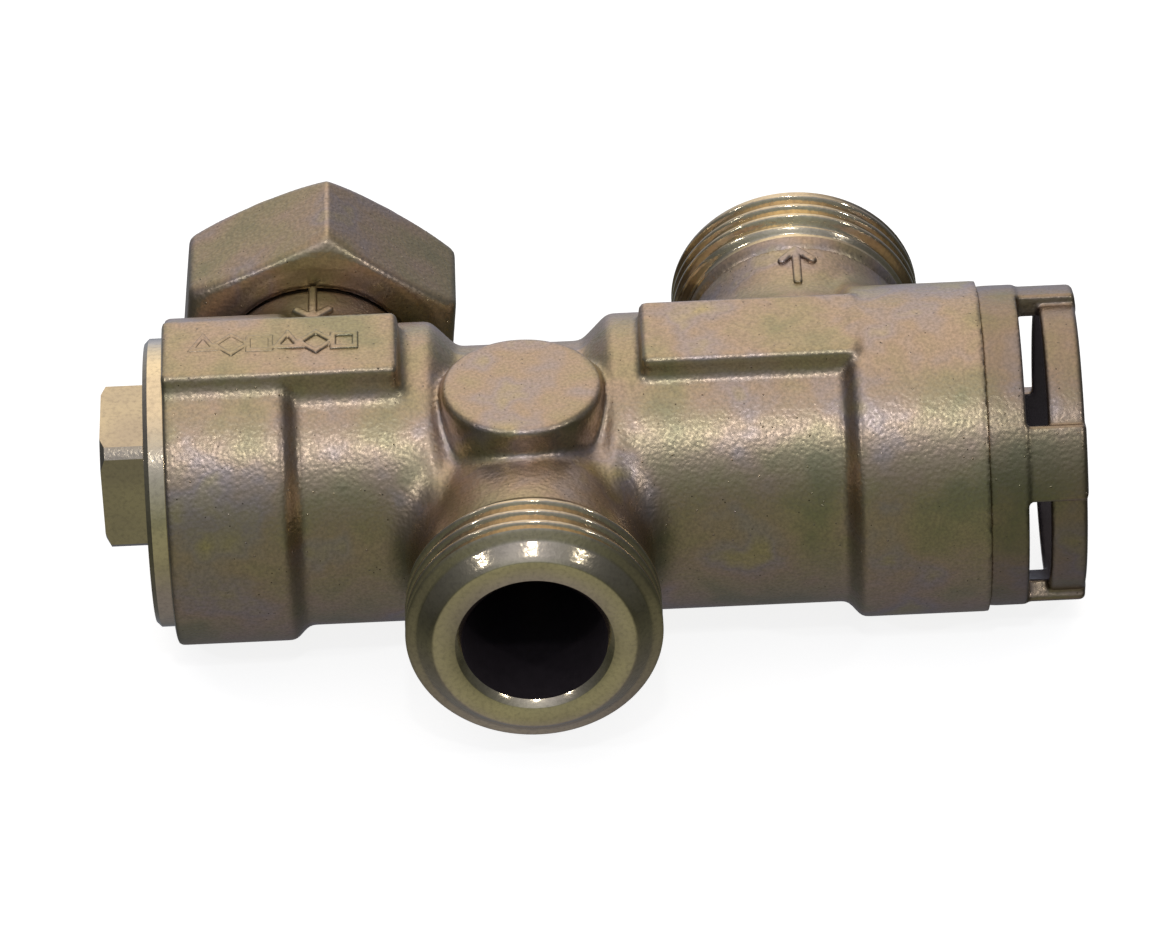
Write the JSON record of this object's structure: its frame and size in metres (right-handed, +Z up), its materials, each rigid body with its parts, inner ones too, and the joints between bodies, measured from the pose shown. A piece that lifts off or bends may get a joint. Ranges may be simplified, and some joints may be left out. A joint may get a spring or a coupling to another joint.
{
  "type": "plug valve",
  "caption": "Three-way brass plug valve with a castellated end ring, a square-headed spindle, two male threaded ports and a union nut on its third port",
  "frame": {"origin": "centre of the inlet port's mouth, on the inlet axis", "axes": "+X along the barrel from the square spindle head to the castellated ring, +Y from the inlet's mouth into the valve, +Z up through the blank boss"},
  "size_m": [0.1021, 0.0635, 0.0353],
  "materials": {
    "forged_brass": "bead-blasted satin",
    "turned_brass": "fine turned",
    "seal_rubber": "matte black",
    "liner_plastic": "white fluoropolymer",
    "pin_steel": "bright drawn"
  },
  "bodies": {
    "housing": {"valve_body": "forged_brass", "nut_ring": "pin_steel", "union_gasket": "seal_rubber", "end_cover": "turned_brass", "cover_o_ring": "seal_rubber", "stem_bush": "liner_plastic", "stop_pin": "pin_steel", "thrust_washer_left": "liner_plastic", "left_liner": "liner_plastic", "right_liner": "liner_plastic", "thrust_washer_right": "liner_plastic", "end_disc": "turned_brass", "end_disc_o_ring": "seal_rubber", "crown_ring": "forged_brass"},
    "union_nut": {"union_nut": "forged_brass"},
    "rotor": {"stem": "turned_brass", "stem_o_rings": "seal_rubber", "left_plug": "turned_brass", "left_plug_pin": "pin_steel", "right_plug": "turned_brass", "right_plug_pin": "pin_steel", "tail_o_ring": "seal_rubber", "tail_washer": "pin_steel", "tail_clip": "pin_steel"}
  },
  "joints": [
    {"name": "plug_turn", "type": "hinge", "parent": "housing", "child": "rotor", "pos_m": [0, 0.031, 0.00235], "axis": [1, 0, 0], "range_deg": [0, 90]},
    {"name": "union_nut_turn", "type": "hinge", "parent": "housing", "child": "union_nut", "pos_m": [-0.022, 0.0544, 0], "axis": [0, 1, 0], "continuous": true}
  ]
}
